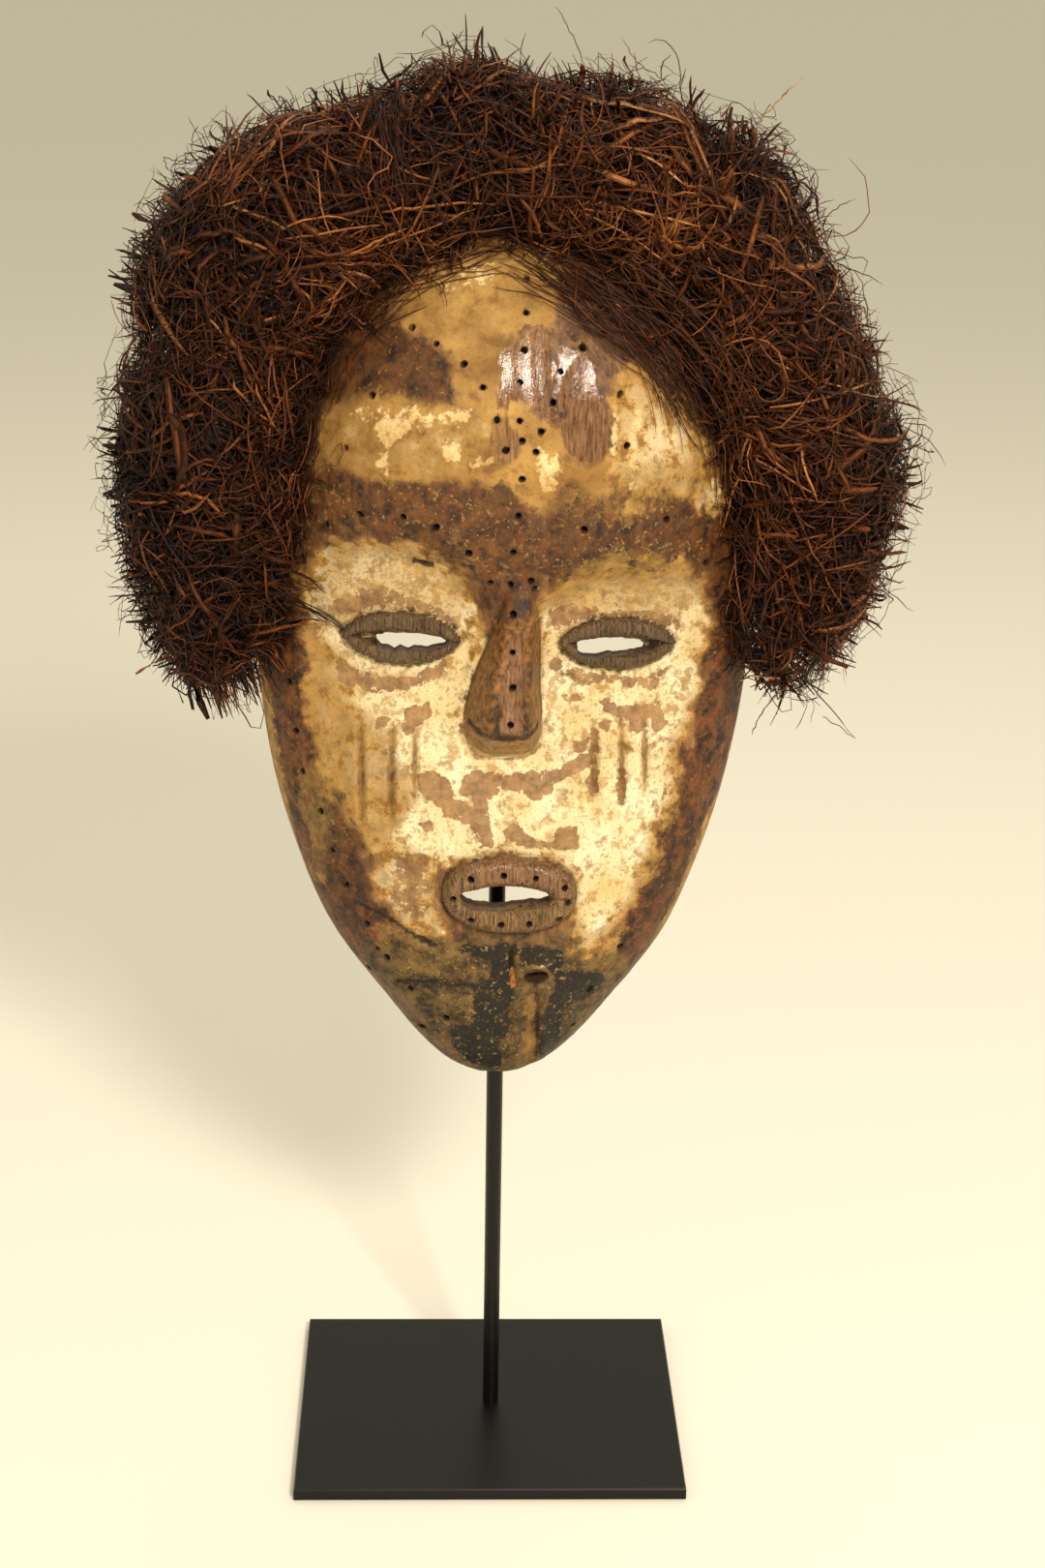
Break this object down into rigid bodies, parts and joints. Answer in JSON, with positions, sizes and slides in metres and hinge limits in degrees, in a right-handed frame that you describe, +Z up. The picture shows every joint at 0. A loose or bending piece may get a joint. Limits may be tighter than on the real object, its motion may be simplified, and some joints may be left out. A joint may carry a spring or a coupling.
{
  "type": "mask on stand",
  "caption": "Carved wooden oval face mask with slit eyes, long nose, oval mouth, white clay face paint and a bushy fibre wig, held on a rod with a flat plate foot.",
  "frame": {"origin": "centre of the plate's underside, on the surface that the stand rests on", "axes": "+Z up along the rod, the face looks along -Y, +X to the viewer's right of the face"},
  "size_m": [0.2818, 0.127, 0.5367],
  "materials": {
    "black_steel": "satin black paint on steel",
    "carved_wood": "carved wood rubbed with white clay, worn to brown, polished dark on nose, brow and chin",
    "raffia": "crinkled dark red-brown plant fibre"
  },
  "bodies": {
    "root": {"base_plate": "black_steel", "stand_rod": "black_steel", "mask": "carved_wood", "fibre_wig": "raffia"}
  },
  "joints": []
}
